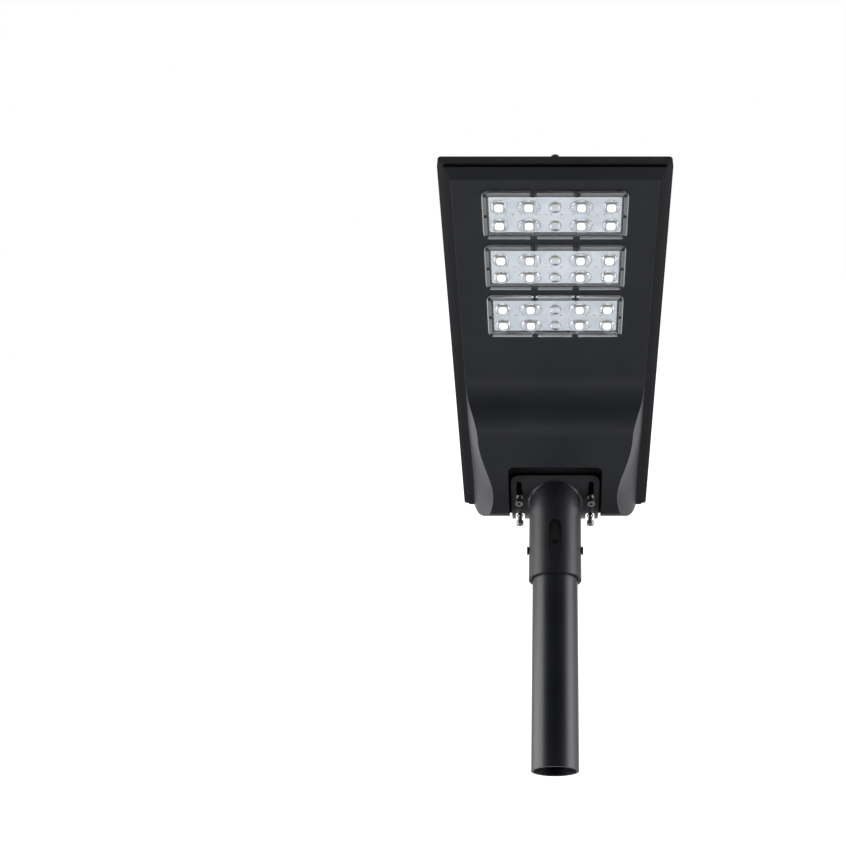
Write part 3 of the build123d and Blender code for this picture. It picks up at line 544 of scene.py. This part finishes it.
clear_tint, crease_angle = (0.96, 0.98, 1.0, 1), radians(32)


def dome_share(x, run, half_x, half_run):
    """0 at a dome's middle and 1 at its foot, with slightly squared sides."""
    return ((abs(x) / half_x) ** dome_square + (abs(run) / half_run) ** dome_square) ** (1 / dome_square)


def outer_height(x, run):
    """Height of the plate's outer face in its field of domes."""
    base = plate_height - field_sink
    for place, half in dome_places.items():
        for row in (-dome_row, dome_row):
            share = dome_share(x - place, run - row, half, min(half, dome_half_run))
            if share < 1:
                return base + (dome_rise + field_sink) * (1 - share ** dome_flat) ** dome_round
    return base


def inner_height(x, run):
    """Height of the plate's inner face, with its hollows."""
    base = plate_height - plate_skin
    for place in dome_places:
        for row in (-dome_row, dome_row):
            across, along = abs(x - place) ** hollow_square, abs(run - row) ** hollow_square
            share = (across + along) ** (1 / hollow_square) / hollow_half
            if share < 1:
                return base + hollow_depth * (1 - share * share) ** hollow_round
    return base


def rim_loop(half_x, half_run, inset):
    """Rounded rectangle at an inset from the plate's edge, as x and forward places."""
    radius = plate_corner - inset
    core_x, core_run = half_x - plate_corner, half_run - plate_corner
    count_x, count_run = round(2 * core_x / mesh_step), round(2 * core_run / mesh_step)
    loop = []
    sides = ((core_x, -core_run, 0, 1, count_run), (core_x, core_run, -1, 0, count_x),
             (-core_x, core_run, 0, -1, count_run), (-core_x, -core_run, 1, 0, count_x))
    for number, (x, run, step_x, step_run, count) in enumerate(sides):
        normal = number * pi / 2
        length = 2 * core_run if step_run else 2 * core_x
        for i in range(corner_steps):
            angle = normal - pi / 2 * (1 - i / corner_steps)
            loop.append((x + radius * cos(angle), run + radius * sin(angle)))
        for i in range(count):
            shift = length * i / count
            loop.append((x + radius * cos(normal) + step_x * shift,
                         run + radius * sin(normal) + step_run * shift))
    return loop


def plate_mesh(half_x, half_run):
    """Closed mesh of one lens plate, with its base at height 0 and its domes up."""
    core_x, core_run = half_x - plate_corner, half_run - plate_corner
    count_x, count_run = round(2 * core_x / mesh_step), round(2 * core_run / mesh_step)
    columns = [core_x * (2 * i / count_x - 1) for i in range(count_x + 1)]
    rows = [core_run * (2 * i / count_run - 1) for i in range(count_run + 1)]
    vertices, faces = [], []
    for height in (outer_height, inner_height):
        vertices += [(x, run, height(x, run)) for run in rows for x in columns]
    inner_start = len(columns) * len(rows)
    for run in range(count_run):
        for x in range(count_x):
            corner = run * len(columns) + x
            face = (corner, corner + 1, corner + 1 + len(columns), corner + len(columns))
            faces += [face, tuple(inner_start + spot for spot in reversed(face))]
    edge = []
    for (x, run), (step_x, step_run), count in (
            ((count_x, 0), (0, 1), count_run), ((count_x, count_run), (-1, 0), count_x),
            ((0, count_run), (0, -1), count_run), ((0, 0), (1, 0), count_x)):
        edge += [run * len(columns) + x] * corner_steps
        edge += [(run + step_run * i) * len(columns) + x + step_x * i for i in range(count)]
    field, base = plate_height - field_sink, plate_height - seam_depth
    profile = ((plate_rim + field_slope, field), (plate_rim, plate_height),
               (seam_inset + seam_half + seam_slope, plate_height), (seam_inset + seam_half, base),
               (seam_inset - seam_half, base), (seam_inset - seam_half - seam_slope, plate_height),
               (plate_bevel, plate_height), (plate_bevel / 4, plate_height - plate_bevel / 4),
               (0.0, plate_height - plate_bevel), (0.0, 0.0), (plate_rim, 0.0),
               (plate_rim, plate_height - plate_skin))
    last = edge
    for inset, height in profile:
        loop = [len(vertices) + i for i in range(len(edge))]
        vertices += [(x, run, height) for x, run in rim_loop(half_x, half_run, inset)]
        faces += ring(last, loop)
        last = loop
    faces += ring(last, [inner_start + spot for spot in edge])
    return vertices, faces


def ring(inner, outer):
    """Faces between two loops of as many points, without the corners that fall together."""
    faces = []
    for i in range(len(inner)):
        following = (i + 1) % len(inner)
        face = [inner[i], outer[i], outer[following], inner[following]]
        face = [spot for number, spot in enumerate(face) if spot != face[number - 1]]
        if len(face) > 2:
            faces.append(tuple(face))
    return faces


def foot_share(x, run, height):
    """How far out a point of the outer face is from a dome: 0 at its middle, 1 at its foot, at most 2."""
    nearest = 2.0
    if height > plate_height - field_sink - level_slack:
        for place, half in dome_places.items():
            for row in (-dome_row, dome_row):
                nearest = min(nearest, dome_share(x - place, run - row, half, min(half, dome_half_run)))
    return nearest


def screw_cutter(spots):
    """Stepped plugs, which cut the screws' holes and counterbores."""
    steps = ((hole_r, cutter_foot), (hole_r, counterbore_seat),
             (counterbore_r, counterbore_seat), (counterbore_r, cutter_top))
    turns = [2 * pi * i / cutter_sides for i in range(cutter_sides)]
    vertices, faces = [], []
    for x, run in spots:
        start = len(vertices)
        for radius, height in steps:
            vertices += [(x + radius * cos(turn), run + radius * sin(turn), height) for turn in turns]
        faces.append(tuple(start + i for i in reversed(range(cutter_sides))))
        faces.append(tuple(start + (len(steps) - 1) * cutter_sides + i for i in range(cutter_sides)))
        for level in range(len(steps) - 1):
            lower = start + level * cutter_sides
            upper = lower + cutter_sides
            for i in range(cutter_sides):
                following = (i + 1) % cutter_sides
                faces.append((lower + i, lower + following, upper + following, upper + i))
    return vertices, faces


def clear_lens():
    """Clear polycarbonate, frosted on the flat rim between the screws' bosses; the frost is paler along the
    rim's bevelled outer edge as a painted highlight. A painted haze round the foot of each dome stands for
    the rings of light that its thick edge bends there."""
    material, nodes, place = finish("clear_lens")
    low, high = spans("lens_1")
    reach_x = (high.x - low.x) / 2
    across = abs(nodes.along(place, (1, 0, 0)))
    run = nodes.along(place, forward)
    inset = reach_x - across
    for number in (1, 2, 3):
        plate_low, plate_high = spans(f"lens_{number}")
        middle = (plate_low.y + plate_high.y) / 2
        inward = (plate_high.y - plate_low.y) / 2 - abs(run - middle)
        beside = inward + inward.ramp(-plate_bevel, 0.0, 1.0, 0.0)
        inset = inset.least(beside)
    rim = inset.ramp(plate_rim - frost_end, plate_rim - frost_start, 1.0, 0.0)
    # Painted highlight: the frost is paler along the rim's outer bevel.
    edge = inset.ramp(plate_bevel * 0.8, plate_bevel * 1.4)
    boss = abs(across - boss_x).ramp(boss_half, boss_half + boss_fade)
    foot = nodes.make("ShaderNodeAttribute", {"attribute_name": "dome_foot"}, {}, out=2)
    # Painted light: a haze round each dome's foot stands for the rings of light that its thick edge bends
    # there.
    painted_rings = foot.ramp(0.80, 0.90) * foot.ramp(1.0, 1.10, 1.0, 0.0)
    # Real frost on the rim, together with the painted rings round the domes.
    frost_and_painted_rings = (rim * boss).largest(painted_rings * 0.9)
    body = nodes.make("ShaderNodeBsdfPrincipled", {}, {
        "Base Color": clear_tint, "Roughness": 0.02, "IOR": 1.49, "Transmission Weight": 1.0})
    haze = nodes.make("ShaderNodeBsdfPrincipled", {}, {
        "Base Color": edge.between((0.80, 0.81, 0.82, 1), (0.33, 0.34, 0.35, 1)), "Roughness": 0.35})
    passing = nodes.make("ShaderNodeBsdfTransparent", {}, {"Color": clear_tint})
    shadow = nodes.make("ShaderNodeLightPath", {}, {}, out=1)
    plastic = nodes.make("ShaderNodeMixShader", {}, {0: frost_and_painted_rings * frost, 1: body, 2: haze})
    mixed = nodes.make("ShaderNodeMixShader", {}, {0: shadow, 1: plastic, 2: passing})
    nodes.make("ShaderNodeOutputMaterial", {}, {"Surface": mixed})
    return material


def lit_hollow():
    """Walls of a hollow over a lit point, which glow by themselves in place of the point's own light:
    dark at the mouth, white further in and yellow over the phosphor."""
    material, nodes, place = finish("lit_hollow")
    height = nodes.along(place, down) - spans("lens_1")[0].z - (plate_height - plate_skin)
    core = height.ramp(hollow_depth * 0.90, hollow_depth * 0.975)
    shade = height.ramp(hollow_depth * 0.45, hollow_depth * 0.7)
    light = shade.between((0.10, 0.11, 0.13, 1), (1.0, 0.99, 0.93, 1))
    return surface(material, nodes, {
        "Base Color": (0.12, 0.12, 0.13, 1),
        "Roughness": 0.4,
        "Emission Color": core.between(light, (0.97, 0.90, 0.58, 1)),
        "Emission Strength": 1.15})


plate_low, plate_high = spans("lens_1")
plate_half_x, plate_half_run = (plate_high.x - plate_low.x) / 2, (plate_high.y - plate_low.y) / 2
dome_rise = plate_high.z - plate_low.z - plate_height
edge_x, edge_run = plate_half_x - screw_inset, plate_half_run - screw_inset
screw_spots = [(x, run) for x in (-edge_x, -boss_x, boss_x, edge_x) for run in (-edge_run, edge_run)]
screw_spots += [(-edge_x, 0.0), (edge_x, 0.0)]
plate = mesh_object("lens_plate", *plate_mesh(plate_half_x, plate_half_run), True)
plate.data.materials.append(clear_lens())
plate.data.materials.append(lit_hollow())
ceiling = plate_height - plate_skin
for polygon in plate.data.polygons:
    x, run, height = polygon.center
    inside = polygon.normal.z < 0 and ceiling + level_slack < height < ceiling + hollow_depth + level_slack
    if inside and abs(x) > dim_reach:
        polygon.material_index = 1
cutter = mesh_object("screw_cutter", *screw_cutter(screw_spots), False)
cut = plate.modifiers.new("holes", "BOOLEAN")
cut.object = cutter
cut.solver = "EXACT"
bpy.context.view_layer.update()
cut_mesh = bpy.data.meshes.new_from_object(plate.evaluated_get(bpy.context.evaluated_depsgraph_get()))
bpy.data.objects.remove(plate)
bpy.data.objects.remove(cutter)
feet = cut_mesh.attributes.new("dome_foot", "FLOAT", "POINT")
feet.data.foreach_set("value", [foot_share(*vertex.co) for vertex in cut_mesh.vertices])
for number in (1, 2, 3):
    low, high = spans(f"lens_{number}")
    mesh = cut_mesh.copy()
    mesh.transform(onto_lamp((low.y + high.y) / 2, low.z))
    mesh.set_sharp_from_angle(angle=crease_angle)
    cover = bpy.data.objects.new(f"lens_cover_{number}", mesh)
    bpy.context.scene.collection.objects.link(cover)
    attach(cover, "head")
    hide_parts(f"lens_{number}")
bpy.data.meshes.remove(cut_mesh)
dress(turned_metal("lens_screw_steel", (0.06, 0.06, 0.065, 1), 0.35, (0.10, 0.10, 0.10, 1)), "lens_screws")

# ---- Studio ----
# Pale floor far below, white surroundings, two tall soft boxes at the sides with a smaller one behind
# each, one above the panel and a weak one under the lamp. The floor and the white surroundings are
# for the camera: the lamp is neither lit by that floor nor mirrors it, and it sees a darker world.
floor_half, floor_level, floor_cloud = 8.0, -1.25, 0.8
corners = [(floor_half * x, floor_half * y, floor_level) for x, y in ((-1, -1), (1, -1), (1, 1), (-1, 1))]
floor = mesh_object("floor", corners, [(0, 1, 2, 3)], False)
floor_paint, nodes, place = finish("floor_paint")
shade = nodes.noise(place, floor_cloud, 2.0)
floor.data.materials.append(surface(floor_paint, nodes, {
    "Base Color": shade.between((0.13, 0.13, 0.13, 1), (0.16, 0.16, 0.16, 1)), "Roughness": 0.8,
    "Emission Color": (1.0, 1.0, 1.0, 1), "Emission Strength": 0.66}))
floor.visible_diffuse = False
floor.visible_glossy = False


def soft_box(name, place, target, width, height, watts):
    """Rectangular area light that faces a target."""
    lamp = bpy.data.lights.new(name, "AREA")
    lamp.shape = "RECTANGLE"
    lamp.size = width
    lamp.size_y = height
    lamp.energy = watts
    box = bpy.data.objects.new(name, lamp)
    box.location = place
    box.rotation_euler = (Vector(target) - Vector(place)).to_track_quat("-Z", "Y").to_euler()
    box.visible_camera = False
    bpy.context.scene.collection.objects.link(box)


for name, hand, rear_watts in (("left", -1, 14), ("right", 1, 6)):
    soft_box(f"{name}_box", place=(1.6 * hand, -0.3, 0.1), target=(0, 0, 0.35),
             width=1.1, height=2.2, watts=42)
    soft_box(f"{name}_rear_box", place=(1.5 * hand, 0.55, 0.1), target=(0, -0.1, 0.38),
             width=0.8, height=1.4, watts=rear_watts)
soft_box("low_box", place=(0, 0, -0.7), target=(0, -0.3, 0.5), width=1.0, height=0.5, watts=1.0)
soft_box("top_box", place=(0, 0.3, 2.4), target=(0, -0.2, 0.4), width=1.6, height=1.6, watts=40)

world = bpy.data.worlds.new("studio")
bpy.context.scene.world = world
world.use_nodes = True
world.node_tree.nodes.clear()
nodes = Sock(world.node_tree)
seen = nodes.make("ShaderNodeLightPath")
way = nodes.make("ShaderNodeTexCoord")
behind = nodes.along(way, (0, 1, 0))
level = nodes.along(way, (0, 0, 1))
back_glow = behind.ramp(0.1, 0.9) * 0.15
back_band = behind.ramp(0.6, 0.95) * level.ramp(-0.45, 0.0) * 1.2
floor_glow = level.ramp(-0.95, -0.75, 0.12, 0.0)
strength = seen.largest(0.03 + back_glow + back_band + floor_glow)
around = nodes.make("ShaderNodeBackground", {}, {"Color": (1, 1, 1, 1), "Strength": strength})
nodes.make("ShaderNodeOutputWorld", {}, {"Surface": around})
bpy.context.scene.view_settings.view_transform = "Standard"

# ---- Camera ----
# Stands low in front of the pole and looks up at the lamp, as someone on the pavement would.
lens_view = bpy.data.cameras.new("camera")
lens_view.lens = 56.56
lens_view.sensor_width = 36.0
lens_view.shift_x = -0.156
camera = bpy.data.objects.new("camera", lens_view)
camera.location = (0.0, -1.6718, -0.348)
camera.rotation_euler = (radians(116.41), 0.0, 0.0)
bpy.context.scene.collection.objects.link(camera)
bpy.context.scene.camera = camera
